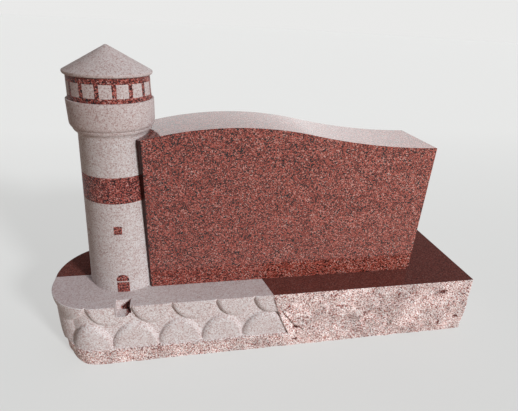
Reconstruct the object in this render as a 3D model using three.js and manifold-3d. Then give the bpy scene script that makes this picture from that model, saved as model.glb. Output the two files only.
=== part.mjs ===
// Granite family memorial: a long base, an upright slab with a serpentine top,
// and a turned lighthouse tower standing in the hollowed end of the slab.
// Millimetres, +Z up, origin at the middle of the underside.
import * as THREE from 'three';
import { mergeVertices } from 'three/addons/utils/BufferGeometryUtils.js';
import Module from 'manifold-3d';

const wasm = await Module();
wasm.setup();

// Base
const baseHeight = 203;
const baseLeft = -674;         // crown of the rounded left end
const baseRight = 666;         // arris of the square right end
const halfDepth = 178;         // arris of the long faces
const frontCornerRadius = 140; // left end, front half
const backCornerRadius = 178;  // left end, back half
const rockProud = 8;           // rock face beyond its arris, at most
const rockGrain = 62;          // width of the large breaks in the rock face

// Carved stones on the left of the front face and round the left end
const stoneGroove = 7;         // depth of the joints between the stones
const upperStoneBottom = 131;
const lowerStoneTop = 137;
const carvedFloor = 53;        // the stones stand on this line
const upperJoints = [-800, -682, -562, -437, -323, -193, -79, 40];
const lowerJoints = [-820, -712, -602, -498, -366, -238, -112, 30];
const carvedRightTop = -14;    // slanting end of the carving, at the top edge
const carvedRightSlant = 38;   // and how far it has moved at carvedFloor

// Step cut into the top front edge below the door
const notchWidth = 41;
const notchDepth = 35;
const notchHeight = 33;

// Upright slab
const slabLeft = -383;
const slabRight = 473;
const slabFront = -90;
const slabBack = 123;
const crownX = -121;           // highest point of the serpentine top
const crownHeight = 489;       // above the base
const crownRadius = 1020;
const hollowX = 460;           // lowest point of the hollow curve
const hollowHeight = 430;
const cornerChip = 11;         // chip off the foot of the front right corner

// Tower
const towerX = -459;
const towerY = 4;
const towerSegments = 56;
const shaftFootRadius = 110.7;
const shaftTopRadius = 91.8;
const shaftTop = 660;
const galleryTop = 751;
const eaveHeight = 817;
const apexHeight = 880;

// Joints
const bedGap = 0.3;            // under the slab and the tower
const towerJoint = 1.5;        // between the tower and the hollow in the slab
const endBevel = 30;           // degrees, how the slab's end arrises fall back to the tower

const granite = (name, color, roughness) =>
  new THREE.MeshStandardMaterial({ name, color, roughness, metalness: 0 });

// A closed three.js geometry as a manifold solid.
function solidOf(geometry) {
  const bare = geometry.clone();
  bare.deleteAttribute('normal');
  bare.deleteAttribute('uv');
  const merged = mergeVertices(bare, 1e-4);
  const index = merged.index.array;
  const kept = [];
  for (let i = 0; i < index.length; i += 3) {
    const [a, b, c] = [index[i], index[i + 1], index[i + 2]];
    if (a !== b && b !== c && c !== a) kept.push(a, b, c);
  }
  return new wasm.Manifold(new wasm.Mesh({
    numProp: 3,
    vertProperties: new Float32Array(merged.attributes.position.array),
    triVerts: new Uint32Array(kept),
  }));
}

function geometryOf(solid) {
  const mesh = solid.getMesh();
  const geometry = new THREE.BufferGeometry();
  geometry.setAttribute('position', new THREE.BufferAttribute(mesh.vertProperties.slice(), 3));
  geometry.setIndex(new THREE.BufferAttribute(mesh.triVerts.slice(), 1));
  geometry.computeVertexNormals();
  return geometry;
}

// Extrudes an outline given in (x, z) along +Y, from y0 to y1.
function extrudeAlongY(shape, y0, y1) {
  const geometry = new THREE.ExtrudeGeometry(shape, { depth: y1 - y0, bevelEnabled: false });
  geometry.rotateX(Math.PI / 2);
  geometry.translate(0, y1, 0);
  return geometry;
}

// Extrudes an outline given in (x, y) along +Z, from z0 to z1.
function extrudeAlongZ(shape, z0, z1) {
  const geometry = new THREE.ExtrudeGeometry(shape, { depth: z1 - z0, bevelEnabled: false });
  geometry.translate(0, 0, z0);
  return geometry;
}

// Repeatable scatter in 0..1 for a lattice point.
function scatter(i, j, layer) {
  let h = Math.imul(i, 374761393) ^ Math.imul(j, 668265263) ^ Math.imul(layer, 974634777);
  h = Math.imul(h ^ (h >>> 13), 1274126177);
  return ((h ^ (h >>> 16)) >>> 0) / 4294967295;
}

// Broken stone: straight-sided patches between lattice points, each patch tilted its own way.
function breaks(s, z, grain, layer) {
  const u = s / grain;
  const v = z / (grain * 0.7);
  const i = Math.floor(u);
  const j = Math.floor(v);
  const [fu, fv] = [u - i, v - j];
  const low = scatter(i, j, layer) * (1 - fu) + scatter(i + 1, j, layer) * fu;
  const high = scatter(i, j + 1, layer) * (1 - fu) + scatter(i + 1, j + 1, layer) * fu;
  return low * (1 - fv) + high * fv;
}

// Rock-pitched face: sits on its arris at the top and swells below it. Round the left end it
// swells less, so that the carved stones stay the furthest out.
function rockFace(s, z) {
  const { smoothstep } = THREE.MathUtils;
  const swell = Math.sin(Math.PI * Math.min(1, (baseHeight - z) / 90) / 2);
  const chips = 0.68 * breaks(s, z, rockGrain, 1) + 0.32 * breaks(s, z, rockGrain / 2, 2);
  const leftEnd = 1 - smoothstep(s, cornerStart - 150, cornerStart);
  const heldIn = leftEnd * smoothstep(s, backStart, backStart + 90);
  return swell * (rockProud * (1.25 * chips - heldIn) - 1.5);
}

// One rounded stone: flat in the middle and turned down to the joint at its rim.
function stoneDome(across, up) {
  const rim = Math.hypot(across, up);
  return rim < 1 ? Math.sqrt(1 - rim ** 3) : 0;
}

// Two courses of rounded stones: one hangs from the top edge, one stands on the carved floor.
function carvedFace(s, z) {
  let height = 0;
  const rows = [
    { joints: upperJoints, centre: baseHeight + 8, reach: baseHeight + 8 - upperStoneBottom },
    { joints: lowerJoints, centre: carvedFloor - 5, reach: lowerStoneTop - carvedFloor + 5 },
  ];
  for (const { joints, centre, reach } of rows) {
    for (let k = 0; k + 1 < joints.length; k += 1) {
      if (s < joints[k] || s > joints[k + 1]) continue;
      const half = (joints[k + 1] - joints[k]) / 2;
      const across = (s - joints[k] - half) / (half + 2.5);
      height = Math.max(height, stoneDome(across, (z - centre) / reach));
    }
  }
  return stoneGroove * (height - 1);
}

// Runs round the base from the right end of the front face, clockwise seen from above.
// s equals x along the front face and goes on past the corner by arc length.
const cornerStart = baseLeft + frontCornerRadius;
const cornerArc = frontCornerRadius * Math.PI / 2;
const endFlat = halfDepth - frontCornerRadius;
const carvedEnd = cornerStart - cornerArc - endFlat;
const backArc = backCornerRadius * Math.PI / 2;
const backStart = carvedEnd - backArc;
const backLength = baseRight - (baseLeft + backCornerRadius);
const endStart = backStart - backLength;

function outlineAt(s) {
  if (s >= cornerStart) return { x: s, y: -halfDepth, nx: 0, ny: -1 };
  if (s >= cornerStart - cornerArc) {
    const a = (cornerStart - s) / frontCornerRadius;
    const [nx, ny] = [-Math.sin(a), -Math.cos(a)];
    const centreY = -halfDepth + frontCornerRadius;
    return { x: cornerStart + frontCornerRadius * nx, y: centreY + frontCornerRadius * ny, nx, ny };
  }
  if (s >= carvedEnd) {
    return { x: baseLeft, y: cornerStart - cornerArc - s - endFlat, nx: -1, ny: 0 };
  }
  if (s >= backStart) {
    const a = (carvedEnd - s) / backCornerRadius;
    const [nx, ny] = [-Math.cos(a), Math.sin(a)];
    return { x: baseLeft + backCornerRadius * (1 + nx), y: backCornerRadius * ny, nx, ny };
  }
  if (s > endStart) {
    return { x: baseLeft + backCornerRadius + backStart - s, y: halfDepth, nx: 0, ny: 1 };
  }
  return { x: baseRight, y: halfDepth - (endStart - s), nx: 1, ny: 0 };
}

function carvedFloorAt(s) {
  return carvedFloor * THREE.MathUtils.smoothstep(s, -670, -570);
}

function isCarved(s, z) {
  if (s < carvedEnd || z < carvedFloorAt(s)) return false;
  const drop = Math.max(0, (baseHeight - z) / (baseHeight - carvedFloor));
  return s < carvedRightTop + carvedRightSlant * drop ** 1.5;
}

function faceOffset(s, z) {
  if (isCarved(s, z)) return carvedFace(s, z);
  return rockFace(s, z);
}

// Stations round the outline: close together along the carving, wider on the rock.
function stations() {
  const list = [];
  const run = (from, to, step) => {
    const count = Math.max(1, Math.round((from - to) / step));
    for (let k = 0; k < count; k += 1) list.push(from + (to - from) * k / count);
  };
  run(baseRight, 50, 34);
  run(50, carvedEnd, 10.4);
  run(carvedEnd, backStart, 24);
  run(backStart, endStart, 42);
  run(endStart, endStart - 2 * halfDepth, 34);
  return list;
}

// The square corners at the right end move out along both faces at once.
function basePoint(s, z) {
  const at = outlineAt(s);
  const corner = s === baseRight || s === endStart;
  const offset = faceOffset(s, z) * (corner ? 0.5 : 1);
  const outX = corner ? 1 : at.nx;
  const outY = corner ? Math.sign(at.y) : at.ny;
  return new THREE.Vector3(at.x + outX * offset, at.y + outY * offset, z);
}

function buildBase() {
  const around = stations();
  const levels = 19;
  const positions = [];
  for (let k = 0; k <= levels; k += 1) {
    for (const s of around) {
      positions.push(...basePoint(s, baseHeight * k / levels).toArray());
    }
  }
  const n = around.length;
  const index = [];
  for (let k = 0; k < levels; k += 1) {
    for (let i = 0; i < n; i += 1) {
      const j = (i + 1) % n;
      const [a, b, c, d] = [k * n + i, k * n + j, (k + 1) * n + j, (k + 1) * n + i];
      if ((i + k) % 2) index.push(a, d, b, b, d, c);
      else index.push(a, c, b, a, d, c);
    }
  }
  for (const level of [0, levels]) {
    const contour = around.map((s) => {
      const p = basePoint(s, baseHeight * level / levels);
      return new THREE.Vector2(p.x, p.y);
    });
    for (const [a, b, c] of THREE.ShapeUtils.triangulateShape(contour, [])) {
      const [p, q, r] = [contour[a], contour[b], contour[c]];
      const turn = (q.x - p.x) * (r.y - p.y) - (q.y - p.y) * (r.x - p.x);
      const up = turn > 0 === (level > 0);
      const row = level * n;
      index.push(row + a, row + (up ? b : c), row + (up ? c : b));
    }
  }
  const geometry = new THREE.BufferGeometry();
  geometry.setAttribute('position', new THREE.Float32BufferAttribute(positions, 3));
  geometry.setIndex(index);

  const notch = new THREE.Shape([
    new THREE.Vector2(towerX - notchWidth / 2, -halfDepth - 30),
    new THREE.Vector2(towerX + notchWidth / 2, -halfDepth - 30),
    new THREE.Vector2(towerX + notchWidth / 2, -halfDepth + notchDepth),
    new THREE.Vector2(towerX - notchWidth / 2, -halfDepth + notchDepth),
  ]);
  const cut = extrudeAlongZ(notch, baseHeight - notchHeight, baseHeight + 20);
  return geometryOf(solidOf(geometry).subtract(solidOf(cut)));
}

// Turned profile of the tower, as radius and height, grown outwards by a margin.
function towerProfile(margin) {
  const foot = baseHeight + bedGap;
  const points = [
    [shaftFootRadius, foot],
    [shaftTopRadius, shaftTop],
    [96, 667],
    [98.5, 668.5],
    [103.5, 678.5],
    [104, 680.5],
    [108, 685],
    [109.6, 690],
    [110.6, galleryTop - 2],
    [109.4, galleryTop],
    [104.6, galleryTop + 0.8],
    [103, 807.5],
    [106.5, 808],
    [109.4, 810.5],
    [110.6, eaveHeight - 2],
    [110, eaveHeight],
    [8, apexHeight - 3.6],
    [4, apexHeight - 1],
  ];
  return [
    new THREE.Vector2(0, foot - margin * 8),
    ...points.map(([r, z], k) => new THREE.Vector2(r + margin, k ? z : z - margin * 8)),
    new THREE.Vector2(0, apexHeight),
  ];
}

function turnTower(margin) {
  const geometry = new THREE.LatheGeometry(towerProfile(margin), towerSegments);
  geometry.rotateX(Math.PI / 2);
  geometry.translate(towerX, towerY, 0);
  return geometry;
}

// Height of the slab's top above the base: a crown arc and a hollow arc that touch.
function serpentine(x) {
  const run = hollowX - crownX;
  const drop = crownHeight - hollowHeight;
  const reach = (run * run + drop * drop) / (2 * drop);
  const hollowRadius = reach - crownRadius;
  const turnX = crownX + run * crownRadius / reach;
  if (x < turnX) {
    return crownHeight - crownRadius + Math.sqrt(crownRadius ** 2 - (x - crownX) ** 2);
  }
  return hollowHeight + hollowRadius - Math.sqrt(hollowRadius ** 2 - (x - hollowX) ** 2);
}

function buildSlab() {
  const wing = 60;             // stone left beside the tower, before the hollow is cut
  const bed = baseHeight + bedGap;
  const face = new THREE.Shape();
  face.moveTo(slabLeft - wing, bed);
  face.lineTo(slabRight, bed);
  const steps = 44;
  for (let k = 0; k <= steps; k += 1) {
    const x = slabRight - (slabRight - slabLeft + wing) * k / steps;
    face.lineTo(x, baseHeight + serpentine(x));
  }

  const lean = Math.tan(THREE.MathUtils.degToRad(endBevel));
  const plan = new THREE.Shape();
  plan.moveTo(slabRight, slabFront);
  plan.lineTo(slabRight, slabBack);
  plan.lineTo(slabLeft, slabBack);
  plan.lineTo(slabLeft - wing * 0.8, slabBack - wing * 0.8 / lean);
  plan.lineTo(slabLeft - wing * 0.5, slabFront + wing * 0.5 / lean);
  plan.lineTo(slabLeft, slabFront);

  const chip = new THREE.OctahedronGeometry(cornerChip);
  chip.translate(slabRight, slabFront, bed);

  const block = solidOf(extrudeAlongY(face, slabFront, slabBack));
  const trimmed = block.intersect(solidOf(extrudeAlongZ(plan, bed - 5, baseHeight + crownHeight + 5)));
  return geometryOf(trimmed.subtract(solidOf(turnTower(towerJoint))).subtract(solidOf(chip)));
}

function addPiece(group, name, geometry, material) {
  const mesh = new THREE.Mesh(geometry, material);
  mesh.name = name;
  group.add(mesh);
}

const monument = new THREE.Group();
addPiece(monument, 'base', buildBase(), granite('rock_pitched_granite', 0xb9a29e, 0.85));
addPiece(monument, 'upright_slab', buildSlab(), granite('polished_granite', 0x8c4b46, 0.2));
addPiece(monument, 'lighthouse_tower', turnTower(0), granite('steeled_granite', 0xc4b8b5, 0.75));

export default monument;
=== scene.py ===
import math

import bpy
from mathutils import Matrix, Vector, noise


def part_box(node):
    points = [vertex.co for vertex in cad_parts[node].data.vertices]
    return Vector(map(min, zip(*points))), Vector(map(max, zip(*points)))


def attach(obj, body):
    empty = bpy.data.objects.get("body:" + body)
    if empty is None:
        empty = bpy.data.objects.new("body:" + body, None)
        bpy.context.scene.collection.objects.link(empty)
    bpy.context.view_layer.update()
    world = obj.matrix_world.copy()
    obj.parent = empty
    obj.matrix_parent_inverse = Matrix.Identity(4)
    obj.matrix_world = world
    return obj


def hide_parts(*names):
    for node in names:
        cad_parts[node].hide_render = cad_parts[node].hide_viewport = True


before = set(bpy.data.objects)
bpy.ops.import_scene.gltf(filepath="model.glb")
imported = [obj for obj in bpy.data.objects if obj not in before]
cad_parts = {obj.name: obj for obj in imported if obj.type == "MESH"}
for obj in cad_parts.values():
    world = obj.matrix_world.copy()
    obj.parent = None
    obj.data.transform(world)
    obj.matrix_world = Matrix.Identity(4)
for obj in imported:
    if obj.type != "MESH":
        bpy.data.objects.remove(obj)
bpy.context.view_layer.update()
scene = bpy.context.scene
scene.view_settings.view_transform = "Standard"
print("frame loaded")

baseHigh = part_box("base")[1]
slabLow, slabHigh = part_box("upright_slab")


def linear(hexColour):
    # sRGB hex to the linear values that Blender's sockets take
    parts = [int(hexColour[i:i + 2], 16) / 255 for i in (0, 2, 4)]
    parts = [p / 12.92 if p <= 0.04045 else ((p + 0.055) / 1.055) ** 2.4 for p in parts]
    return (*parts, 1.0)


def smooth(value, low, high):
    t = min(1.0, max(0.0, (value - low) / (high - low)))
    return t * t * (3 - 2 * t)


def freshStart():
    # operators act on all that is selected, and the loaded nodes still are
    if bpy.context.object and bpy.context.object.mode != "OBJECT":
        bpy.ops.object.mode_set(mode="OBJECT")
    bpy.ops.object.select_all(action="DESELECT")


def nameActive(name):
    piece = bpy.context.object
    piece.name = name
    piece.data.name = name
    bpy.ops.object.transform_apply(location=True, rotation=True, scale=True)
    return piece


def selectParts(piece, kind, wanted):
    # picks faces by their middle and normal, or edges by their two ends, and stays in edit mode
    bpy.ops.object.mode_set(mode="EDIT")
    bpy.ops.mesh.select_mode(type=kind)
    bpy.ops.mesh.select_all(action="DESELECT")
    bpy.ops.object.mode_set(mode="OBJECT")
    points = piece.data.vertices
    if kind == "FACE":
        for face in piece.data.polygons:
            face.select = wanted(face.center, face.normal)
    else:
        for edge in piece.data.edges:
            edge.select = wanted(*[points[k].co for k in edge.vertices])
    bpy.ops.object.mode_set(mode="EDIT")


def makeActive(piece):
    freshStart()
    piece.select_set(True)
    bpy.context.view_layer.objects.active = piece


def cutAway(piece, cutter):
    # takes the cutter's shape out of the piece, then drops the cutter
    makeActive(piece)
    bpy.ops.object.modifier_add(type="BOOLEAN")
    cut = piece.modifiers[-1]
    cut.operation = "DIFFERENCE"
    cut.solver = "MANIFOLD"
    cut.object = cutter
    bpy.ops.object.modifier_apply(modifier=cut.name)
    bpy.data.objects.remove(cutter)


def finishSmooth(piece, degrees):
    makeActive(piece)
    bpy.ops.object.shade_smooth_by_angle(angle=math.radians(degrees))


def linkInputs(tree, node, sources):
    # a source is a socket, or a node for its first output
    for key, source in sources.items():
        tree.links.new(getattr(source, "outputs", [source])[0], node.inputs[key])


def addNode(tree, kind, settings=None, links=None):
    # settings: a node's own property, or an input by its name or number
    added = tree.nodes.new(kind if kind.startswith("NodeGroup") else "ShaderNode" + kind)
    for key, value in (settings or {}).items():
        if isinstance(key, str) and hasattr(added, key):
            setattr(added, key, value)
        else:
            added.inputs[key].default_value = value
    linkInputs(tree, added, links or {})
    return added


def setStops(ramp, stops):
    elements = ramp.color_ramp.elements
    while len(elements) > 1:
        elements.remove(elements[-1])
    for k, (place, colour) in enumerate(stops):
        element = elements[0] if k == 0 else elements.new(place)
        element.position = place
        element.color = colour


# Red granite of one quarry in every piece: interlocked crystals 2 to 5 mm across, black mica,
# brick-red and salmon feldspar, a little grey-pink quartz. Only the finish changes its colour.
grain = {
    "crystal": 0.0024,      # metres
    "fleck": 0.0062,        # spacing of the mica flecks
    "fleckRim": 0.26,       # where a fleck ends and where it is full, in parts of that spacing
    "fleckHeart": 0.18,
    "clump": 0.034,         # patches where the dark minerals gather
    "lean": 0.5,            # and how strongly
    "irregular": 0.0014,    # how far a crystal's edge wanders
    "grit": 0.003,          # pits of the blasting, coarse enough to show
}

micaColour = "1a1211"   # of the flecks on a fresh face
darkest = 0.004         # the least that any grain reflects

# where each mineral's share of the crystals starts, and its colour in each finish
polishedMinerals = [
    (0.00, linear("1a1817")), (0.13, linear("362b29")), (0.24, linear("73352e")),
    (0.44, linear("944439")), (0.66, linear("aa594f")), (0.86, linear("b8776d")),
    (0.95, linear("c0918a")),
]
steeledMinerals = [
    (0.00, linear("ab938f")), (0.10, linear("bda8a5")), (0.26, linear("c8bcba")),
    (0.58, linear("cec7c6")), (0.84, linear("d6d1d0")),
]
brokenMinerals = [
    (0.00, linear("6e423d")), (0.08, linear("a0645c")), (0.17, linear("c4948c")),
    (0.32, linear("d9bdb8")), (0.55, linear("e6d4d0")), (0.78, linear("f2e9e6")),
]


def makeGrainGroup():
    group = bpy.data.node_groups.new("redGraniteGrain", "ShaderNodeTree")
    group.interface.new_socket("Place", in_out="INPUT", socket_type="NodeSocketVector")
    group.interface.new_socket("Mineral", in_out="OUTPUT", socket_type="NodeSocketFloat")
    group.interface.new_socket("Mica", in_out="OUTPUT", socket_type="NodeSocketFloat")
    inside = addNode(group, "NodeGroupInput")
    outside = addNode(group, "NodeGroupOutput")
    place = inside.outputs["Place"]

    # crystal edges wander, so the cells don't read as straight-sided
    wander = addNode(group, "TexNoise", {"Scale": 1 / grain["crystal"]}, {"Vector": place})
    centred = addNode(group, "VectorMath", {"operation": "SUBTRACT", 1: (0.5, 0.5, 0.5)},
                      {0: wander.outputs["Color"]})
    bent = addNode(group, "VectorMath", {"operation": "MULTIPLY_ADD", 1: (grain["irregular"],) * 3},
                   {0: centred, 2: place})

    # every crystal draws its mineral, and where the dark ones clump it leans towards them
    crystals = addNode(group, "TexVoronoi", {"Scale": 1 / grain["crystal"]}, {"Vector": bent})
    share = addNode(group, "SeparateColor", {}, {"Color": crystals.outputs["Color"]})
    clumps = addNode(group, "TexNoise", {"Scale": 1 / grain["clump"], "Detail": 3.0}, {"Vector": place})
    lean = addNode(group, "Math", {"operation": "MULTIPLY_ADD", 1: grain["lean"], 2: -grain["lean"] / 2},
                   {0: clumps.outputs["Fac"]})
    darkOnly = addNode(group, "Math", {"operation": "MINIMUM", 1: 0.0}, {0: lean})
    mineral = addNode(group, "Math", {"operation": "ADD", "use_clamp": True},
                      {0: share.outputs["Red"], 1: darkOnly})

    flecks = addNode(group, "TexVoronoi", {"Scale": 1 / grain["fleck"]}, {"Vector": bent})
    mica = addNode(group, "MapRange", {"From Min": grain["fleckRim"], "From Max": grain["fleckHeart"]},
                   {"Value": flecks.outputs["Distance"]})
    linkInputs(group, outside, {"Mineral": mineral, "Mica": mica})
    return group


grainGroup = makeGrainGroup()


def startMaterial(name):
    material = bpy.data.materials.new(name)
    material.use_nodes = True
    tree = material.node_tree
    shader = tree.nodes["Principled BSDF"]
    shader.inputs["IOR"].default_value = 1.54   # quartz and feldspar
    place = addNode(tree, "TexCoord").outputs["Object"]
    stone = addNode(tree, "Group", {"node_tree": grainGroup}, {"Place": place})
    return material, tree, shader, place, stone


def toned(minerals, gain=1.0, even=0.0, paintedSheen=0.0):
    # the same crystals, darker or lighter; even draws them towards their mean, or apart when below
    # 0, and the last number lays an even grey over them: a painted reflection of a pale sky
    mean = [sum(colour[k] for _, colour in minerals) / len(minerals) for k in range(3)]
    changed = []
    for share, colour in minerals:
        channels = [gain * (c + (m - c) * even) + paintedSheen for c, m in zip(colour, mean)]
        changed.append((share, (*[max(darkest, c) for c in channels], 1.0)))
    return changed


def addFinishColour(tree, stone, minerals, micaHex, micaShare):
    # crystals coloured for one finish, with the mica flecks laid over them
    body = addNode(tree, "ValToRGB", {}, {"Fac": stone.outputs["Mineral"]})
    body.color_ramp.interpolation = "CONSTANT"
    setStops(body, minerals)
    amount = addNode(tree, "Math", {"operation": "MULTIPLY", 1: micaShare}, {0: stone.outputs["Mica"]})
    mixed = addNode(tree, "Mix", {"data_type": "RGBA", 7: linear(micaHex)},
                    {0: amount, 6: body.outputs["Color"]})
    return mixed.outputs[2]


def paintLightAlong(tree, place, fromX, toX, leftTint, rightTint):
    # painted light and shade: a tint that changes along x from one end to the other
    apart = addNode(tree, "SeparateXYZ", {}, {0: place})
    along = addNode(tree, "MapRange", {"From Min": fromX, "From Max": toX}, {"Value": apart.outputs["X"]})
    tint = addNode(tree, "Mix", {"data_type": "RGBA", 6: (*leftTint, 1.0), 7: (*rightTint, 1.0)},
                   {0: along})
    return tint.outputs[2]


def makePolished(name, gain, even, roughness, specular=0.5, paintedLightEnds=None):
    # Polished to a mirror: the wet, deep colour of the stone and a clear reflection.
    material, tree, shader, place, stone = startMaterial(name)
    minerals = toned(polishedMinerals, gain, even)
    colour = addFinishColour(tree, stone, minerals, micaColour, 0.75 * (1 - even))
    # painted light: darker towards the slab's left end, lighter and greyer towards its right end
    if paintedLightEnds:
        tint = paintLightAlong(tree, place, slab["left"], slab["right"], *paintedLightEnds)
        colour = addNode(tree, "VectorMath", {"operation": "MULTIPLY"}, {0: colour, 1: tint})
    linkInputs(tree, shader, {"Base Color": colour})
    shader.inputs["Roughness"].default_value = roughness
    shader.inputs["Specular IOR Level"].default_value = specular
    return material


def addGrit(tree, place):
    # the pits of a blasted face, as a bump
    grit = addNode(tree, "TexNoise", {"Scale": 1 / grain["grit"], "Detail": 3.0, "Roughness": 0.6},
                   {"Vector": place})
    return addNode(tree, "Bump", {"Distance": 0.0005}, {"Height": grit.outputs["Fac"]})


def makeSteeled(name, gain):
    # Sandblasted with steel grit: crushed crystals turn the stone pale pink-grey, matt and even.
    material, tree, shader, place, stone = startMaterial(name)
    colour = addFinishColour(tree, stone, toned(steeledMinerals, gain, 0.2), "a08d8a", 0.18)
    # painted shade: a little darker towards the round end, left of the tower
    tint = paintLightAlong(tree, place, *base["paintedShadeSpan"], (0.84, 0.77, 0.78), (1.0, 1.0, 1.0))
    tinted = addNode(tree, "VectorMath", {"operation": "MULTIPLY"}, {0: colour, 1: tint})
    linkInputs(tree, shader, {"Base Color": tinted, "Normal": addGrit(tree, place)})
    shader.inputs["Roughness"].default_value = 0.78
    return material


print("granite ready")


base = {
    "height": baseHigh[2],
    "left": -0.674,              # crown of the rounded left end
    "right": 0.666,              # arris of the square right end
    "halfDepth": 0.178,
    "frontCornerRadius": 0.140,
    "backCornerRadius": 0.178,
    "rightCornerRadius": 0.0025,
    "arris": 0.0012,
    "carvedStep": 0.0019,        # spacing of the mesh on the carving
    "rockStep": 0.0046,          # and on the broken faces
    "rows": 88,
    "fineUntil": (0.036, 0.10),  # where the mesh coarsens beyond the carving
    "sharpFrom": 42,             # degrees between two faces
    "seed": 2,                   # of the broken faces, that change with the clock without one
    # broken faces: size and height of each kind of break
    "rollingBreak": 0.065, "rollingHeight": 0.0072,
    "largeBreak": 0.062, "largeHeight": 0.0070,
    "smallBreak": 0.026, "smallHeight": 0.0026,
    "roughBreak": 0.012, "roughHeight": 0.0009,
    "bendBreak": 0.050, "bendHeight": 0.012,     # bends the lines along which they meet
    "meanHeight": 0.0026,
    "mostProud": 0.0068,         # how far the broken face may stand past its arris
    "mostDeep": 0.009,           # and how far it may fall behind it
    "heldIn": 0.0060,            # the round end is dressed back this far
    "backFade": 0.090,           # as far as this along the back
    "endFall": 0.0065,           # and falls in below its top edge, and as much again at its foot
    # a ledge that broke away beside the carving, as (x, z), and two pits as (x, z, radius)
    "ledge": [(0.020, 0.124), (0.034, 0.106), (0.046, 0.089), (0.057, 0.077), (0.078, 0.0645)],
    "pits": [(0.562, 0.165, 0.013), (0.637, 0.054, 0.010)],
    "crackDepth": 0.0055, "lipHeight": 0.0028, "pitDepth": 0.0042,
    # where the chisel lifted a chip without bruising the stone: x, z, half length, half height
    "redMarks": [(0.560, 0.165, 0.016, 0.0065), (0.637, 0.054, 0.009, 0.0055),
                 (0.571, 0.038, 0.005, 0.010), (0.398, 0.170, 0.006, 0.008),
                 (0.062, 0.074, 0.014, 0.0055), (0.060, 0.026, 0.010, 0.0065)],
    "markReach": 0.025,          # how far a mark reaches into the stone
    "bruise": 0.075,             # patches that the chisel bruised more or less
    "chips": 0.011, "crumbs": 0.005, "ragged": 0.006,   # in the bump, and on the marks' edges
    # carving: joints of the stones as positions along the outline
    "groove": 0.0140,            # depth of the joints
    "lip": 0.0024,               # the steep part right at the joint
    "lipShare": 0.35,
    "shoulder": 0.021,           # how far a stone's rounding reaches in from its joint
    "upperJoints": [-0.830, -0.562, -0.437, -0.323, -0.193, -0.079, 0.040],
    "upperBottom": 0.131,
    "lowerJoints": [-0.620, -0.498, -0.366, -0.238, -0.112, 0.030],
    "lowerTop": 0.137,
    "floor": 0.053,              # the lower stones stand here
    "endStone": (-0.860, -0.619, 0.120, 0.150),   # one tall stone round the end: from, to, middle, reach
    "rightTop": -0.021,          # the slanting right end of the carving
    "rightSlant": 0.053,
    "floorRunsOut": (-0.760, -0.660),
    "edge": 0.0035,              # width of the step between carving and broken face
    # step below the door, and how far the painted shadow in its far right corner runs from the right wall
    "stepWidth": 0.041, "stepDepth": 0.035, "stepHeight": 0.033,
    "shadowOnFloor": 0.013, "shadowAtBack": 0.030,
    # steeled panel on the top: its back edge, a point and the normal of its slanting right edge,
    # and the stretch of x over which painted shade darkens it towards the round end
    "steeledBack": -0.007,
    "steeledRightStart": (-0.0406, -0.0914, 0.0),
    "steeledRightNormal": (0.975, 0.223, 0.0),
    "paintedShadeSpan": (-0.62, -0.38),
}

cornerStart = base["left"] + base["frontCornerRadius"]
roundEnd = cornerStart - base["frontCornerRadius"] * math.pi / 2
carvedEnd = roundEnd - (base["halfDepth"] - base["frontCornerRadius"])
backStart = carvedEnd - base["backCornerRadius"] * math.pi / 2
backEnd = backStart - (base["right"] - base["left"] - base["backCornerRadius"])
ringEnd = backEnd - 2 * base["halfDepth"]


def outlineAt(s):
    # runs round the base: s equals x along the front, then goes on by arc length round the left
    # end, along the back and up the right end
    half, small = base["halfDepth"], base["rightCornerRadius"]
    if s >= cornerStart:
        x, y, nx, ny = s, -half, 0.0, -1.0
    elif s >= roundEnd:
        radius = base["frontCornerRadius"]
        turn = (cornerStart - s) / radius
        nx, ny = -math.sin(turn), -math.cos(turn)
        x, y = cornerStart + radius * nx, -half + radius + radius * ny
    elif s >= carvedEnd:
        x, y, nx, ny = base["left"], carvedEnd - s, -1.0, 0.0
    elif s >= backStart:
        radius = base["backCornerRadius"]
        turn = (carvedEnd - s) / radius
        nx, ny = -math.cos(turn), math.sin(turn)
        x, y = base["left"] + radius * (1 + nx), radius * ny
    elif s > backEnd:
        x, y, nx, ny = base["left"] + base["backCornerRadius"] + backStart - s, half, 0.0, 1.0
    else:
        x, y, nx, ny = base["right"], half - (backEnd - s), 1.0, 0.0
    # the two square corners are eased by a hair, which also turns their normals
    for side in (-1, 1):
        inX, inY = x - (base["right"] - small), side * y - (half - small)
        if inX > -small * 1.5 and inY > -small * 1.5:
            away = Vector((max(inX, 0.0), max(inY, 0.0)))
            if inX > 0 and inY > 0:
                away.normalize()
                x, y = base["right"] - small + away.x * small, side * (half - small + away.y * small)
                nx, ny = away.x, side * away.y
    return x, y, nx, ny


def brokenPatches(point, size):
    # flat chips: every cell is a plane with its own height and tilt, and meets the next in a worn edge
    near, spots = noise.voronoi(point / size)[:2]
    planes = []
    for cell in spots[:2]:
        tilt = noise.noise_vector(cell * 7.31)
        level = noise.cell(cell * 3.7 + Vector((11.0, 5.0, 2.0)))
        planes.append(level * 0.35 + 2.0 * tilt.dot(point / size - cell))
    share = 0.5 + 0.5 * smooth(near[1] - near[0], 0.0, 0.16)
    return planes[0] * share + planes[1] * (1 - share)


def nearRoundEnd(s, inside, outside):
    # 1 along the rounded left end, fading on the front and at the start of the back
    front = 1 - smooth(s, cornerStart - inside, cornerStart - outside)
    return front * smooth(s, backStart, backStart + base["backFade"])


def drawnIn(s, z):
    # the rounded left end falls back below its top edge, and again at its foot
    drop = base["height"] - z
    fall = smooth(drop, 0.004, 0.050) + smooth(0.080 - z, 0.0, 0.080)
    return nearRoundEnd(s, 0.130, 0.030) * base["endFall"] * fall


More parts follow.
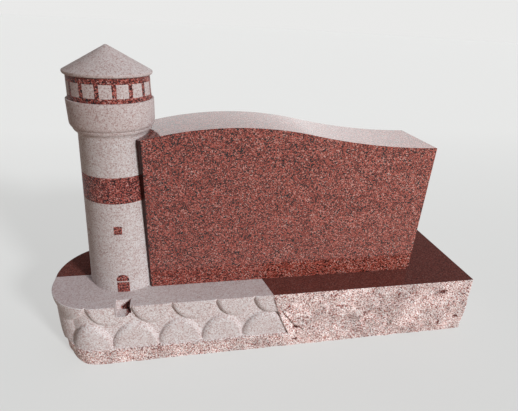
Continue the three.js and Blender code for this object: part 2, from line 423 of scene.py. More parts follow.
def rockOffset(x, y, z, s):
    point = Vector((x, y, z))
    bent = point + base["bendHeight"] * noise.noise_vector(point / base["bendBreak"])
    large = brokenPatches(bent, base["largeBreak"])
    small = brokenPatches(bent + Vector((0.31, 0.17, 0.53)), base["smallBreak"])
    rough = noise.fractal(point / base["roughBreak"], 0.8, 2.1, 3)
    rolling = noise.noise(point / base["rollingBreak"])
    relief = (base["rollingHeight"] * rolling + base["largeHeight"] * large
              + base["smallHeight"] * small + base["roughHeight"] * rough)
    # calmer at the foot, at the right corner and below the carving
    corner = 1 - smooth(abs(x - base["right"]), 0.004, 0.040)
    belowCarving = (1 - smooth(s, -0.03, 0.05)) * smooth(s, carvedEnd - 0.05, carvedEnd)
    calm = (0.40 + 0.60 * smooth(z, 0.0, 0.050)) * (1 - 0.5 * corner) * (1 - 0.55 * belowCarving)
    # the arris is straight, and the face swells out below it
    drop = base["height"] - z
    swell = smooth(drop, 0.0, 0.030) * (0.55 + 0.45 * smooth(drop, 0.03, 0.10))
    offset = swell * (base["meanHeight"] + calm * relief - base["heldIn"] * nearRoundEnd(s, 0.150, 0.0))
    # break off the ledge and the pits
    if abs(y + base["halfDepth"]) < 0.02:
        offset += ledgeOffset(x, z)
        for pitX, pitZ, radius in base["pits"]:
            away = math.hypot(x - pitX, (z - pitZ) * 1.6)
            offset -= base["pitDepth"] * (1 - smooth(away, radius * 0.3, radius))
    return min(base["mostProud"], max(-base["mostDeep"], offset)) - 1.15 * drawnIn(s, z)


def ledgeOffset(x, z):
    # a crack along the ledge, with a lip above it and a fall below
    best, side = 1.0, 0.0
    for (ax, az), (bx, bz) in zip(base["ledge"], base["ledge"][1:]):
        along = Vector((bx - ax, bz - az))
        at = Vector((x - ax, z - az))
        t = min(1.0, max(0.0, at.dot(along) / along.length_squared))
        away = at - along * t
        if away.length < best:
            best = away.length
            side = along.x * at.y - along.y * at.x
    if best > 0.03:
        return 0.0
    crack = -base["crackDepth"] * (1 - smooth(best, 0.0, 0.0045))
    lip = base["lipHeight"] * (1 - smooth(best, 0.002, 0.026)) * (1 if side > 0 else -1)
    return crack + lip


def stoneRelief(s, z):
    # two courses of rounded stones, one hanging from the top edge and one standing on the carved
    # floor, and a tall soft stone round the end
    height = 0.0
    depth = base["groove"] * (0.55 + 0.45 * smooth(base["height"] - z, 0.0, 0.022))
    if s < base["lowerJoints"][0] + 0.02:
        depth *= 0.35 + 0.65 * smooth(z, 0.050, 0.085)
    hung, stood = base["height"] + 0.008, base["floor"] - 0.005
    # joints, middle height, reach, softness of the rounding, share of the steep lip
    rows = (
        (base["upperJoints"], hung, hung - base["upperBottom"], 0.75, base["lipShare"]),
        (base["lowerJoints"], stood, base["lowerTop"] - stood, 1.0, base["lipShare"]),
        (base["endStone"][:2], *base["endStone"][2:], 7.0, 0.0),
    )
    for joints, middle, reach, softness, lipShare in rows:
        for left, right in zip(joints, joints[1:]):
            if left <= s <= right:
                half = (right - left) / 2
                across = (s - left - half) / (half + 0.0015)
                rim = math.hypot(across, (z - middle) / reach)
                # a long fall on the left of each stone, a short one on its right
                fall = base["shoulder"] * softness * (1 - 0.55 * smooth(across, 0.0, 0.5))
                fromJoint = max(0.0, 1 - rim) * min(half, reach)
                steep = min(1.0, fromJoint / base["lip"])
                soft = 1 - (1 - min(1.0, fromJoint / fall)) ** 2.5
                crowned = 1 - 0.10 * rim * rim
                height = max(height, crowned * (lipShare * steep + (1 - lipShare) * soft))
    return depth * (height - 1)


def carvedShare(s, z):
    # 1 on the carving, 0 on the broken face, with a narrow step between them
    floor = base["floor"] * smooth(s, *base["floorRunsOut"])
    drop = max(0.0, (base["height"] - z) / (base["height"] - base["floor"]))
    right = base["rightTop"] + base["rightSlant"] * drop ** 1.3
    wobble = 0.0012 * noise.noise(Vector((s / 0.02, z / 0.02, 3.0)))
    inside = min(z - floor if floor > 0.001 else 1.0, (right - s) * 0.93, s - carvedEnd) + wobble
    return min(1.0, max(0.0, inside / base["edge"] + 0.5))


def ringStations():
    # positions along the outline, close together on the carving
    fine, coarse = base["fineUntil"]
    stops = [(ringEnd, backEnd, base["rockStep"]), (backEnd, backStart, base["rockStep"] * 1.3),
             (backStart, carvedEnd, base["rockStep"]), (carvedEnd, fine, base["carvedStep"]),
             (fine, coarse, base["carvedStep"] * 1.3), (coarse, base["right"], base["rockStep"])]
    places = []
    for low, high, step in stops:
        count = round((high - low) / step)
        places += [low + (high - low) * k / count for k in range(count)]
    small = base["rightCornerRadius"]
    for corner in (base["right"], backEnd, ringEnd):
        places += [corner + small * k / 2 for k in (-2, -1, 1, 2)]
    places = [p for p in places if ringEnd <= p <= base["right"]] + [base["right"]]
    return sorted(set(round(p, 6) for p in places))


def makeBase():
    freshStart()
    noise.seed_set(base["seed"])
    stations = ringStations()
    columns, rows = len(stations) - 1, base["rows"]
    bpy.ops.mesh.primitive_grid_add(x_subdivisions=columns, y_subdivisions=rows, size=1)
    piece = nameActive("carvedBase")
    carvedList = [0.0] * len(piece.data.vertices)
    for vertex in piece.data.vertices:
        column = round((vertex.co.x + 0.5) * columns)
        row = round((vertex.co.y + 0.5) * rows)
        s = stations[column]
        top = row == rows
        z = base["height"] if top else (base["height"] - base["arris"]) * row / (rows - 1)
        x, y, nx, ny = outlineAt(s)
        share = carvedShare(s, z)
        offset = share * (stoneRelief(s, z) - drawnIn(s, z)) + (1 - share) * rockOffset(x, y, z, s)
        if top:
            offset -= base["arris"] * (0.4 + 0.8 * share)
        vertex.co = (x + nx * offset, y + ny * offset, z)
        carvedList[vertex.index] = share
    mask = piece.data.attributes.new("carved", "FLOAT", "POINT")
    mask.data.foreach_set("value", carvedList)

    # close the ring, then the top and the underside
    bpy.ops.object.mode_set(mode="EDIT")
    bpy.ops.mesh.select_all(action="SELECT")
    bpy.ops.mesh.remove_doubles(threshold=0.00002)
    for level in (0.0, base["height"]):
        selectParts(piece, "EDGE", lambda a, b: abs(a.z - level) < 1e-6 and abs(b.z - level) < 1e-6)
        bpy.ops.mesh.edge_face_add()
    # part the top along the back and the right edge of the steeled panel
    underTop = base["height"] - 0.0001
    for there, across in (((0, base["steeledBack"], 0), (0, 1, 0)),
                          (base["steeledRightStart"], base["steeledRightNormal"])):
        selectParts(piece, "FACE", lambda middle, normal: normal.z > 0.99 and middle.z > underTop)
        bpy.ops.mesh.bisect(plane_co=there, plane_no=across)
    selectParts(piece, "EDGE", lambda a, b: min(a.z, b.z) > base["height"] - 1e-6)
    bpy.ops.mesh.mark_sharp()
    bpy.ops.mesh.select_all(action="SELECT")
    bpy.ops.mesh.normals_make_consistent(inside=False)
    bpy.ops.object.mode_set(mode="OBJECT")

    # step below the door
    freshStart()
    low, high = -base["halfDepth"] - 0.03, -base["halfDepth"] + base["stepDepth"]
    floor = base["height"] - base["stepHeight"]
    bpy.ops.mesh.primitive_cube_add(size=1, location=(tower["x"], (low + high) / 2, floor + 0.05),
                                    scale=(base["stepWidth"], high - low, 0.1))
    cutAway(piece, nameActive("stepCutter"))
    finishSmooth(piece, base["sharpFrom"])
    return piece


tower = {
    "x": -0.459,
    "y": 0.004,
    "sides": 160,
    "sharpFrom": 28,
    # radius and height in millimetres, from the foot to the point of the roof
    "profile": [
        (110.7, 203.3), (91.8, 660), (93.2, 663.4), (95.6, 666.6), (95.3, 667.3), (97.6, 668.4),
        (100.4, 671.4), (102.4, 675), (103.3, 678.6), (103.0, 679.6), (105.0, 680.8), (107.0, 683.2),
        (108.7, 686.6), (109.6, 691), (110.6, 748.4), (110.3, 750.2), (109.3, 751), (105.4, 751.4),
        (104.6, 752), (103.1, 809.3), (103.6, 810.2), (106.6, 810.7), (109.0, 812.3), (110.3, 814.9),
        (110.6, 817.5), (110.2, 819.1), (109.2, 820.0), (8.6, 876.1), (6.2, 877.7), (3.2, 879.3),
    ],
    "point": 880,
    # stencilled parts in metres; a pair is a middle height and a half height
    "stencilHeight": 0.33,       # the door and window are as wide as on the shaft here
    "front": -1.2,               # degrees, where they face
    "band": (0.5204, 0.0369),
    "window": (0.4043, 0.01225, 0.0115),   # middle height, half height, half width
    "doorHalf": 0.0168,
    "doorSpring": 0.245,
    "doorLine": (0.2382, 0.0017),
    "rails": [(0.7570, 0.0057), (0.8033, 0.0074)],
    "bars": 16,                  # glazing bars round the lantern
    "firstBar": 13.55,           # degrees from the front
    "barWidth": 0.0108,
    "barZone": (0.7800, 0.0285),
    "lanternRadius": 0.1038,
    # painted shade: the gallery and the roof are coloured a little darker than the shaft, most of all on
    # the left
    "headShadeStart": (0.660, 0.692),
    "headShadeTints": ((0.82, 0.745, 0.72), (0.92, 0.895, 0.89)),
    "headHalf": 0.11,
}


def shaftRadius(z):
    (footRadius, foot), (topRadius, top) = tower["profile"][0], tower["profile"][1]
    return (footRadius + (topRadius - footRadius) * (z * 1000 - foot) / (top - foot)) / 1000


def makeTower():
    freshStart()
    (radius, height), *rest = tower["profile"]
    bpy.ops.mesh.primitive_circle_add(vertices=tower["sides"], radius=radius / 1000, fill_type="NGON",
                                      location=(tower["x"], tower["y"], height / 1000))
    piece = nameActive("turnedTower")
    bpy.ops.object.mode_set(mode="EDIT")
    bpy.ops.mesh.select_all(action="SELECT")
    middle = (tower["x"], tower["y"], 0)
    for nextRadius, nextHeight in rest:
        rise = (0, 0, (nextHeight - height) / 1000)
        bpy.ops.mesh.extrude_region_move(TRANSFORM_OT_translate={"value": rise})
        wider = nextRadius / radius
        bpy.ops.transform.resize(value=(wider, wider, 1), center_override=middle)
        radius, height = nextRadius, nextHeight
    rise = (0, 0, (tower["point"] - height) / 1000)
    bpy.ops.mesh.extrude_region_move(TRANSFORM_OT_translate={"value": rise})
    bpy.ops.mesh.merge(type="CENTER")
    bpy.ops.mesh.select_all(action="SELECT")
    bpy.ops.mesh.normals_make_consistent(inside=False)
    bpy.ops.object.mode_set(mode="OBJECT")
    finishSmooth(piece, tower["sharpFrom"])
    return piece


slab = {
    "left": -0.383, "right": 0.473,
    "front": -0.090, "back": 0.123,
    "wing": 0.060,            # stone beside the tower, before the hollow is cut
    "crownX": -0.121,
    "crownHeight": 0.489,
    "crownRadius": 1.020,
    "hollowX": 0.460,
    "hollowHeight": 0.430,
    "endBevel": 30,           # degrees that the ends beside the tower fall back
    "towerJoint": 0.0015,     # gap between the hollow and the shaft
    "arris": 0.0016,
    "chip": 0.010,            # radius of the chip off the foot of the front right corner
    "step": 0.010,
    "sharpFrom": 12,
    # painted light: the slab's front is coloured darker at its left end and lighter and greyer at its
    # right end
    "paintedLightEnds": ((0.82, 0.79, 0.77), (1.18, 1.35, 1.31)),   # of its left and right end
}


def serpentine(x):
    # a crown arc and a hollow arc that touch
    run = slab["hollowX"] - slab["crownX"]
    drop = slab["crownHeight"] - slab["hollowHeight"]
    reach = (run * run + drop * drop) / (2 * drop)
    crown, hollow = slab["crownRadius"], reach - slab["crownRadius"]
    if x < slab["crownX"] + run * crown / reach:
        return slab["crownHeight"] - crown + math.sqrt(crown ** 2 - (x - slab["crownX"]) ** 2)
    return slab["hollowHeight"] + hollow - math.sqrt(hollow ** 2 - (x - slab["hollowX"]) ** 2)


def makeSlab():
    freshStart()
    low, high = slabLow[2], slabHigh[2]
    left = slab["left"] - slab["wing"]
    middle = ((left + slab["right"]) / 2, (slab["front"] + slab["back"]) / 2, (low + high) / 2)
    bpy.ops.mesh.primitive_cube_add(
        size=1, location=middle,
        scale=(slab["right"] - left, slab["back"] - slab["front"], high - low))
    piece = nameActive("serpentineSlab")
    bpy.ops.object.mode_set(mode="EDIT")
    cuts = round((slab["right"] - left) / slab["step"])
    for k in range(1, cuts):
        bpy.ops.mesh.select_all(action="SELECT")
        bpy.ops.mesh.bisect(plane_co=(left + (slab["right"] - left) * k / cuts, 0, 0), plane_no=(1, 0, 0))
    bpy.ops.object.mode_set(mode="OBJECT")
    for vertex in piece.data.vertices:
        if vertex.co.z > (low + high) / 2:
            vertex.co.z = base["height"] + serpentine(vertex.co.x)

    # the ends beside the tower fall back at an angle
    lean = math.radians(slab["endBevel"])
    for y, side in ((slab["front"], -1), (slab["back"], 1)):
        bpy.ops.object.mode_set(mode="EDIT")
        bpy.ops.mesh.select_all(action="SELECT")
        bpy.ops.mesh.bisect(plane_co=(slab["left"], y, 0), use_fill=True, clear_outer=True,
                            plane_no=(-math.cos(lean), side * math.sin(lean), 0))
        bpy.ops.object.mode_set(mode="OBJECT")

    # eased arrises round the top, the right end and the two left corners
    def isArris(a, b):
        def both(axis, place):
            return all(abs(p[axis] - place) < 1e-5 for p in (a, b))
        onFace = both(1, slab["front"]) or both(1, slab["back"])
        atRight, atLeft = both(0, slab["right"]), both(0, slab["left"])
        onTop = min(a.z, b.z) > low + 0.3
        upright = abs(a.z - b.z) > 0.2
        return (onTop and (onFace or atRight)) or (upright and (atRight or atLeft) and onFace)
    selectParts(piece, "EDGE", isArris)
    bpy.ops.mesh.bevel(offset=slab["arris"], segments=3, affect="EDGES")
    bpy.ops.object.mode_set(mode="OBJECT")

    # hollow for the tower, and the chip off the foot of the front right corner
    freshStart()
    low, high = slabLow[2] - 0.03, slabHigh[2] + 0.03
    bpy.ops.mesh.primitive_cone_add(
        vertices=tower["sides"], radius1=shaftRadius(low) + slab["towerJoint"],
        radius2=shaftRadius(high) + slab["towerJoint"], depth=high - low,
        location=(tower["x"], tower["y"], (low + high) / 2))
    cutAway(piece, nameActive("hollowCutter"))
    freshStart()
    corner = (slab["right"] + 0.001, slab["front"] - 0.001, slabLow[2])
    bpy.ops.mesh.primitive_ico_sphere_add(subdivisions=2, radius=slab["chip"], location=corner)
    cutAway(piece, nameActive("chipCutter"))
    finishSmooth(piece, slab["sharpFrom"])
    return piece


basePiece = makeBase()
print("base modelled", len(basePiece.data.polygons))
towerPiece = makeTower()
print("tower turned", len(towerPiece.data.polygons))
slabPiece = makeSlab()
print("slab cut", len(slabPiece.data.polygons))


def makeBaseFace():
    # Carved stones blasted smooth beside faces split with a pitching chisel: the split face shows
    # whole crystals, so it is lighter and far more speckled than the blasted one.
    material, tree, shader, place, stone = startMaterial("pitchedGranite")
    broken = addFinishColour(tree, stone, toned(brokenMinerals, 1.14, -0.2), "4a3a39", 0.8)
    blasted = addFinishColour(tree, stone, toned(steeledMinerals, 1.17, -0.2), "a09290", 0.2)
    fresh = addFinishColour(tree, stone, toned(polishedMinerals, 0.68), micaColour, 0.75)
    # the chisel bruised some patches whiter than others
    patches = addNode(tree, "TexNoise", {"Scale": 1 / base["bruise"], "Detail": 3.0}, {"Vector": place})
    bruised = addNode(tree, "MapRange",
                      {"From Min": 0.32, "From Max": 0.68, "To Min": 0.76, "To Max": 1.20},
                      {"Value": patches.outputs["Fac"]})
    uneven = addNode(tree, "VectorMath", {"operation": "SCALE"}, {0: broken, "Scale": bruised})
    # red marks: the distance to the nearest one, in its own half sizes, with a ragged edge
    nearest = None
    for x, z, halfLength, halfHeight in base["redMarks"]:
        across = addNode(tree, "VectorMath", {"operation": "SUBTRACT", 1: (x, -base["halfDepth"], z)},
                         {0: place})
        perSize = (1 / halfLength, 1 / base["markReach"], 1 / halfHeight)
        sized = addNode(tree, "VectorMath", {"operation": "MULTIPLY", 1: perSize}, {0: across})
        away = addNode(tree, "VectorMath", {"operation": "LENGTH"}, {0: sized}).outputs["Value"]
        if nearest is not None:
            away = addNode(tree, "Math", {"operation": "MINIMUM"}, {0: nearest, 1: away})
        nearest = away
    ragged = addNode(tree, "TexNoise", {"Scale": 1 / base["ragged"]}, {"Vector": place})
    edged = addNode(tree, "Math", {"operation": "MULTIPLY_ADD", 1: 1.6},
                    {0: ragged.outputs["Fac"], 2: nearest})
    unbruised = addNode(tree, "MapRange", {"From Min": 2.0, "From Max": 1.5}, {"Value": edged})
    split = addNode(tree, "Mix", {"data_type": "RGBA"}, {0: unbruised, 6: uneven, 7: fresh})
    # the "carved" attribute says where the blasted carving is
    carved = addNode(tree, "Attribute", {"attribute_name": "carved"}).outputs["Fac"]
    colour = addNode(tree, "Mix", {"data_type": "RGBA"}, {0: carved, 6: split.outputs[2], 7: blasted})
    # chips and crumbs, far lower on the carving
    chips = addNode(tree, "TexVoronoi", {"Scale": 1 / base["chips"], "feature": "SMOOTH_F1"},
                    {"Vector": place})
    crumbs = addNode(tree, "TexNoise", {"Scale": 1 / base["crumbs"], "Detail": 4.0, "Roughness": 0.65},
                     {"Vector": place})
    coarse = addNode(tree, "Math", {"operation": "MULTIPLY_ADD", 1: 0.5},
                     {0: chips.outputs["Distance"], 2: crumbs.outputs["Fac"]})
    rough = addNode(tree, "MapRange", {"To Min": 1.0, "To Max": 0.22}, {"Value": carved})
    height = addNode(tree, "Math", {"operation": "MULTIPLY"}, {0: coarse, 1: rough})
    bump = addNode(tree, "Bump", {"Distance": 0.0035}, {"Height": height})
    linkInputs(tree, shader, {"Base Color": colour.outputs[2], "Normal": bump})
    shader.inputs["Roughness"].default_value = 0.72
    return material


def makeStep():
    # Sawn step, blasted pale, with a painted shadow: the far right corner, which the right wall shades
    # from the key light, is coloured the dark red of an unblasted face.
    material, tree, shader, place, stone = startMaterial("steeledStepShadowed")
    apart = addNode(tree, "SeparateXYZ", {}, {0: place})
    rightWall = tower["x"] + base["stepWidth"] / 2
    across = addNode(tree, "Math", {"operation": "SUBTRACT", 0: rightWall}, {1: apart.outputs["X"]})
    depth = addNode(tree, "Math", {"operation": "ADD", 1: base["halfDepth"]}, {0: apart.outputs["Y"]})
    drop = addNode(tree, "Math", {"operation": "SUBTRACT", 0: base["height"]}, {1: apart.outputs["Z"]})
    # painted shadow of the right wall: a strip along it that widens at the back and narrows to the top
    strip = addNode(tree, "Math", {"operation": "SUBTRACT", 0: base["shadowOnFloor"]}, {1: across})
    fromBack = addNode(tree, "Math", {"operation": "SUBTRACT", 1: base["stepDepth"]}, {0: depth})
    wide = addNode(tree, "Math", {"operation": "MULTIPLY_ADD", 1: 10.0, 2: base["shadowAtBack"]},
                   {0: fromBack})
    onWall = addNode(tree, "Math", {"operation": "SUBTRACT"}, {0: wide, 1: across})
    beyond = addNode(tree, "Math", {"operation": "MAXIMUM"}, {0: strip, 1: onWall})
    under = addNode(tree, "Math", {"operation": "MULTIPLY_ADD", 1: -0.80},
                    {0: across, 2: drop})
    corner = addNode(tree, "Math", {"operation": "MINIMUM"}, {0: beyond, 1: under})
    ragged = addNode(tree, "Math", {"operation": "MULTIPLY_ADD", 1: 0.009},
                     {0: stone.outputs["Mineral"], 2: corner})
    # painted shadow: 1 where the right wall's shadow from the key light falls, coloured dark red below
    paintedShadow = addNode(tree, "MapRange", {"From Min": 0.0035, "From Max": 0.0055}, {"Value": ragged})
    blasted = addFinishColour(tree, stone, toned(steeledMinerals, 1.12), "a08d8a", 0.2)
    shadowColour = addFinishColour(tree, stone, toned(polishedMinerals, 0.60, -0.2), micaColour, 0.75)
    colour = addNode(tree, "Mix", {"data_type": "RGBA"}, {0: paintedShadow, 6: blasted, 7: shadowColour})
    linkInputs(tree, shader, {"Base Color": colour.outputs[2], "Normal": addGrit(tree, place)})
    shader.inputs["Roughness"].default_value = 0.8
    return material


def makeTowerFace():
    # Turned shaft, blasted through a stencil: what the stencil covered keeps its red polish and
    # stands a hair proud of the pale ground.
    material, tree, shader, place, stone = startMaterial("stencilledGranite")
    onAxis = addNode(tree, "VectorMath", {"operation": "SUBTRACT", 1: (tower["x"], tower["y"], 0)},
                     {0: place})
    apart = addNode(tree, "SeparateXYZ", {}, {0: onAxis})
    grit = addNode(tree, "TexNoise", {"Scale": 1 / grain["grit"], "Detail": 3.0, "Roughness": 0.6},
                   {"Vector": place})

    # worked out line by line: a name, its operation, and its terms by name or number
    halfPitch = math.pi / tower["bars"]
    lines = [
        ("towardsFront", "MULTIPLY", "y", -1.0),
        ("azimuth", "ARCTAN2", "x", "towardsFront"),
        ("fromFront", "SUBTRACT", "azimuth", math.radians(tower["front"])),
        ("across", "MULTIPLY", "fromFront", shaftRadius(tower["stencilHeight"])),
        ("band", "COMPARE", "z", *tower["band"]),
        ("windowRow", "COMPARE", "z", *tower["window"][:2]),
        ("windowColumn", "COMPARE", "across", 0.0, tower["window"][2]),
        ("window", "MULTIPLY", "windowRow", "windowColumn"),
        # door: straight sides with a round head, crossed by one blasted line
        ("fromSpring", "SUBTRACT", "z", tower["doorSpring"]),
        ("aboveSpring", "MAXIMUM", "fromSpring", 0.0),
        ("aboveSquared", "POWER", "aboveSpring", 2.0),
        ("aside", "ABSOLUTE", "across"),
        ("asideSquared", "POWER", "aside", 2.0),
        ("headSquared", "ADD", "asideSquared", "aboveSquared"),
        ("fromHead", "SQRT", "headSquared"),
        ("doorShape", "LESS_THAN", "fromHead", tower["doorHalf"]),
        ("doorLine", "COMPARE", "z", *tower["doorLine"]),
        ("offLine", "SUBTRACT", 1.0, "doorLine"),
        ("door", "MULTIPLY", "doorShape", "offLine"),
        # lantern: glazing bars between two rails
        ("fromBar", "SUBTRACT", "azimuth", math.radians(tower["firstBar"])),
        ("toNearest", "WRAP", "fromBar", halfPitch, -halfPitch),
        ("bar", "COMPARE", "toNearest", 0.0, tower["barWidth"] / 2 / tower["lanternRadius"]),
        ("barZone", "COMPARE", "z", *tower["barZone"]),
        ("glazed", "MULTIPLY", "bar", "barZone"),
        ("lowerRail", "COMPARE", "z", *tower["rails"][0]),
        ("upperRail", "COMPARE", "z", *tower["rails"][1]),
        ("rails", "MAXIMUM", "lowerRail", "upperRail"),
        ("lantern", "MAXIMUM", "glazed", "rails"),
        ("onShaft", "MAXIMUM", "band", "window"),
        ("doorOrLantern", "MAXIMUM", "door", "lantern"),
        ("inlay", "MAXIMUM", "onShaft", "doorOrLantern"),
        # only the ground has the grit, and the inlay stands as high as its peaks
        ("ground", "SUBTRACT", 1.0, "inlay"),
        ("blasted", "MULTIPLY", "grit", "ground"),
        ("height", "ADD", "blasted", "inlay"),
    ]
    known = {"x": apart.outputs["X"], "y": apart.outputs["Y"], "z": apart.outputs["Z"],
             "grit": grit.outputs["Fac"]}
    for name, operation, *terms in lines:
        numbers = {k: term for k, term in enumerate(terms) if not isinstance(term, str)}
        sockets = {k: known[term] for k, term in enumerate(terms) if isinstance(term, str)}
        known[name] = addNode(tree, "Math", {"operation": operation, **numbers}, sockets)

    steeled = addFinishColour(tree, stone, toned(steeledMinerals), "a08d8a", 0.08)
    # the polished inlay carries an even grey: a painted reflection of the pale sky on its curve
    polished = addFinishColour(tree, stone, toned(polishedMinerals, 0.76, -0.8, 0.04), micaColour, 0.75)
    colour = addNode(tree, "Mix", {"data_type": "RGBA"}, {0: known["inlay"], 6: steeled, 7: polished})
    # painted shade: the gallery and the roof darker than the shaft, darkest on the left, away from the
    # key light
    low, high = tower["headShadeStart"]
    aloft = addNode(tree, "MapRange", {"From Min": low, "From Max": high}, {"Value": known["z"]})
    shadeAlongHead = paintLightAlong(tree, place, tower["x"] - tower["headHalf"], tower["x"] + tower["headHalf"],
                         *tower["headShadeTints"])
    tone = addNode(tree, "Mix", {"data_type": "RGBA", 6: (1.0, 1.0, 1.0, 1.0)},
                   {0: aloft, 7: shadeAlongHead})
    whole = addNode(tree, "VectorMath", {"operation": "MULTIPLY"},
                    {0: colour.outputs[2], 1: tone.outputs[2]})
    gloss = addNode(tree, "MapRange", {"To Min": 0.78, "To Max": 0.60}, {"Value": known["inlay"]})
    bump = addNode(tree, "Bump", {"Distance": 0.0006}, {"Height": known["height"]})
    linkInputs(tree, shader, {"Base Color": whole, "Roughness": gloss, "Normal": bump})
    shader.inputs["Specular IOR Level"].default_value = 0.3
    return material


def giveMaterials(piece, *materials):
    piece.data.materials.clear()
    for material in materials:
        piece.data.materials.append(material)


# the polished top of the base is painted shade: a darker, more even copy of the polished granite
giveMaterials(basePiece, makeBaseFace(), makePolished("shadedPolishedBaseTop", 0.57, 0.55, 0.08),
              makeSteeled("steeledGranite", 1.12), makeStep())
# the slab's second finish is painted shade: a far darker copy of the polished granite for the bevelled
# left end in the tower's shade
giveMaterials(slabPiece, makePolished("polishedGranite", 1.08, -0.16, 0.12, paintedLightEnds=slab["paintedLightEnds"]),
              makePolished("paintedShadeEnd", 0.26, 0.3, 0.4, specular=0.08))
giveMaterials(towerPiece, makeTowerFace())

slack = 0.0002   # when a face is told by its place
panelCorner, panelSide = Vector(base["steeledRightStart"]), Vector(base["steeledRightNormal"])
for face in basePiece.data.polygons:
    middle, facing = face.center, face.normal
    fromFront = middle.y + base["halfDepth"]
    inStep = (abs(middle.x - tower["x"]) < base["stepWidth"] / 2 + slack
              and middle.z > base["height"] - base["stepHeight"] - slack
              and -0.002 < fromFront < base["stepDepth"] + slack
              and (abs(facing.x) > 0.98 or facing.z > 0.98 or facing.y < -0.98))
    if facing.z > 0.99 and middle.z > base["height"] - 0.0003:
        onPanel = (middle - panelCorner).dot(panelSide) < 0 and middle.y < base["steeledBack"]
        face.material_index = 2 if onPanel else 1
    else:
        # the step takes the steeled material with its painted shadow
        face.material_index = 3 if inStep and (len(face.vertices) > 4 or fromFront > 0.004) else 0
for face in slabPiece.data.polygons:
    # the bevelled left end beside the tower takes the painted shade
    face.material_index = int(face.normal.x < -0.6 and face.center.x < slab["left"] + 0.001)
print("finishes on")

for piece, node, slotName in ((basePiece, "base", "rock_pitched_granite"),
                              (slabPiece, "upright_slab", "polished_granite"),
                              (towerPiece, "lighthouse_tower", "steeled_granite")):
    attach(piece, "root")
    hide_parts(node)


studio = {
    "keyAzimuth": 37,       # degrees to the right of the front
    "keyHeight": 25.5,
    "keySpread": 9,         # degrees across, as a large softbox
    "keyStrength": 2.84,
    "keyColour": (0.96, 0.98, 1.0),
    "backdrop": (0.82, 0.82, 0.812, 1.0),
    "floorColour": linear("8c8c8b"),
    "floorGlow": (1.93, 2.35),     # under the stone, and far behind it
    "farBehind": 2.5,
    # zones: where each starts and ends, as sines of the height above the horizon, and its light
    "shell": [(-1.0, -0.02, (0.42, 0.35, 0.31)), (0.0, 0.06, (0.75, 0.75, 0.74)),
              (0.09, 0.78, (0.07, 0.06, 0.06)), (0.88, 1.0, (0.53, 0.61, 0.67))],
    "leftTint": (0.55, 0.47, 0.40, 1.0),     # the fill fades and warms to the left
    "rightTint": (1.22, 1.24, 1.26, 1.0),
    # the bright low band behind: how much of it there is by height, and its strength left and right
    "band": [(-0.01, 0.0), (0.01, 1.0), (0.34, 1.0), (0.40, 0.0)],
    "bandStrength": (1.12, 1.43),
}
camera = {
    "place": (-0.28547, -1.11954, 0.95352),
    "azimuth": 0.21205,     # radians, to the right of +Y
    "down": 0.43555,
    "roll": 0.05632,
    "lens": 27.653,
}


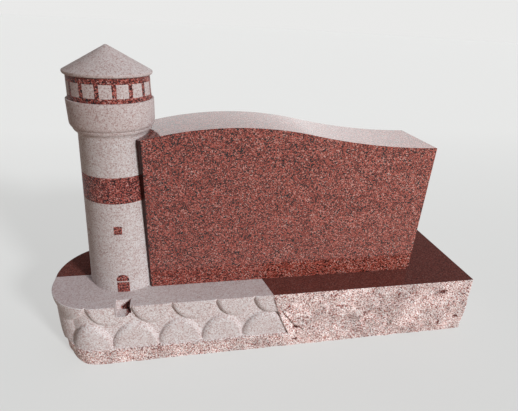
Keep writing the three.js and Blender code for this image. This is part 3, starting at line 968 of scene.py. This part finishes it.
def makeStudio():
    freshStart()
    bpy.ops.mesh.primitive_circle_add(vertices=96, radius=60, fill_type="NGON")
    floor = nameActive("floor")
    paper = bpy.data.materials.new("palePaper")
    paper.use_nodes = True
    tree = paper.node_tree
    shader = tree.nodes["Principled BSDF"]
    for name in ("Base Color", "Emission Color"):
        shader.inputs[name].default_value = studio["floorColour"]
    shader.inputs["Roughness"].default_value = 0.9
    shader.inputs["Specular IOR Level"].default_value = 0.1
    apart = addNode(tree, "SeparateXYZ", {}, {0: addNode(tree, "TexCoord").outputs["Object"]})
    glow = addNode(tree, "MapRange", {"From Max": studio["farBehind"], "To Min": studio["floorGlow"][0],
                                      "To Max": studio["floorGlow"][1]}, {"Value": apart.outputs["Y"]})
    linkInputs(tree, shader, {"Emission Strength": glow})
    floor.data.materials.append(paper)
    floor.visible_diffuse = False   # the world below the horizon stands in for its bounced light

    # world: warm bounce from below, pale at the horizon, a bright low band behind that the
    # polished top mirrors, dark higher up and soft overhead
    world = bpy.data.worlds.new("studioWorld")
    world.use_nodes = True
    scene.world = world
    tree = world.node_tree
    direction = addNode(tree, "TexCoord").outputs["Generated"]
    apart = addNode(tree, "SeparateXYZ", {}, {0: direction})
    up = addNode(tree, "MapRange", {"From Min": -1.0, "From Max": 1.0}, {"Value": apart.outputs[2]})
    shell = addNode(tree, "ValToRGB", {}, {"Fac": up})
    setStops(shell, [((at + 1) / 2, (*colour, 1)) for *ends, colour in studio["shell"] for at in ends])
    band = addNode(tree, "ValToRGB", {}, {"Fac": up})
    setStops(band, [((at + 1) / 2, (v, v, v, 1)) for at, v in studio["band"]])
    behind = addNode(tree, "MapRange",
                     {"interpolation_type": "SMOOTHSTEP", "From Min": -0.1, "From Max": 0.4},
                     {"Value": apart.outputs[1]})
    leftBand, rightBand = studio["bandStrength"]
    aside = addNode(tree, "MapRange",
                    {"From Min": -0.3, "From Max": 0.6, "To Min": leftBand, "To Max": rightBand},
                    {"Value": apart})
    toRight = addNode(tree, "MapRange", {"From Min": -0.9, "From Max": 0.9}, {"Value": apart})
    tint = addNode(tree, "Mix", {"data_type": "RGBA", 6: studio["leftTint"], 7: studio["rightTint"]},
                   {0: toRight})
    tinted = addNode(tree, "VectorMath", {"operation": "MULTIPLY"},
                     {0: shell.outputs["Color"], 1: tint.outputs[2]})
    amount = addNode(tree, "Math", {"operation": "MULTIPLY"}, {0: behind, 1: aside})
    lit = addNode(tree, "VectorMath", {"operation": "SCALE"},
                  {0: band.outputs["Color"], "Scale": amount})
    total = addNode(tree, "VectorMath", {"operation": "ADD"}, {0: tinted, 1: lit})
    # straight into the lens the backdrop is plain and as pale as the floor
    seen = addNode(tree, "LightPath").outputs["Is Camera Ray"]
    shown = addNode(tree, "Mix", {"data_type": "RGBA", 7: studio["backdrop"]}, {0: seen, 6: total})
    linkInputs(tree, tree.nodes["Background"], {"Color": shown.outputs[2]})

    azimuth, height = math.radians(studio["keyAzimuth"]), math.radians(studio["keyHeight"])
    toKey = Vector((math.sin(azimuth), -math.cos(azimuth), 0)) * math.cos(height)
    toKey.z = math.sin(height)
    bpy.ops.object.light_add(type="SUN", location=toKey * 3)
    key = bpy.context.object
    key.name = "keyLight"
    key.rotation_euler = toKey.to_track_quat("Z", "Y").to_euler()
    key.data.angle = math.radians(studio["keySpread"])
    key.data.energy = studio["keyStrength"]
    key.data.color = studio["keyColour"]
    key.visible_glossy = False


def placeCamera():
    a, d, r = camera["azimuth"], camera["down"], camera["roll"]
    forward = Vector((math.sin(a) * math.cos(d), math.cos(a) * math.cos(d), -math.sin(d)))
    level = Vector((math.cos(a), -math.sin(a), 0))
    upright = level.cross(forward)
    right = math.cos(r) * level + math.sin(r) * upright
    up = math.cos(r) * upright - math.sin(r) * level
    bpy.ops.object.camera_add(location=camera["place"])
    view = bpy.context.object
    turned = Matrix((right, up, -forward)).transposed()
    view.rotation_euler = turned.to_euler()
    view.data.sensor_fit = "HORIZONTAL"
    view.data.lens = camera["lens"]
    view.data.clip_end = 200
    scene.camera = view


makeStudio()
placeCamera()
print("studio set")
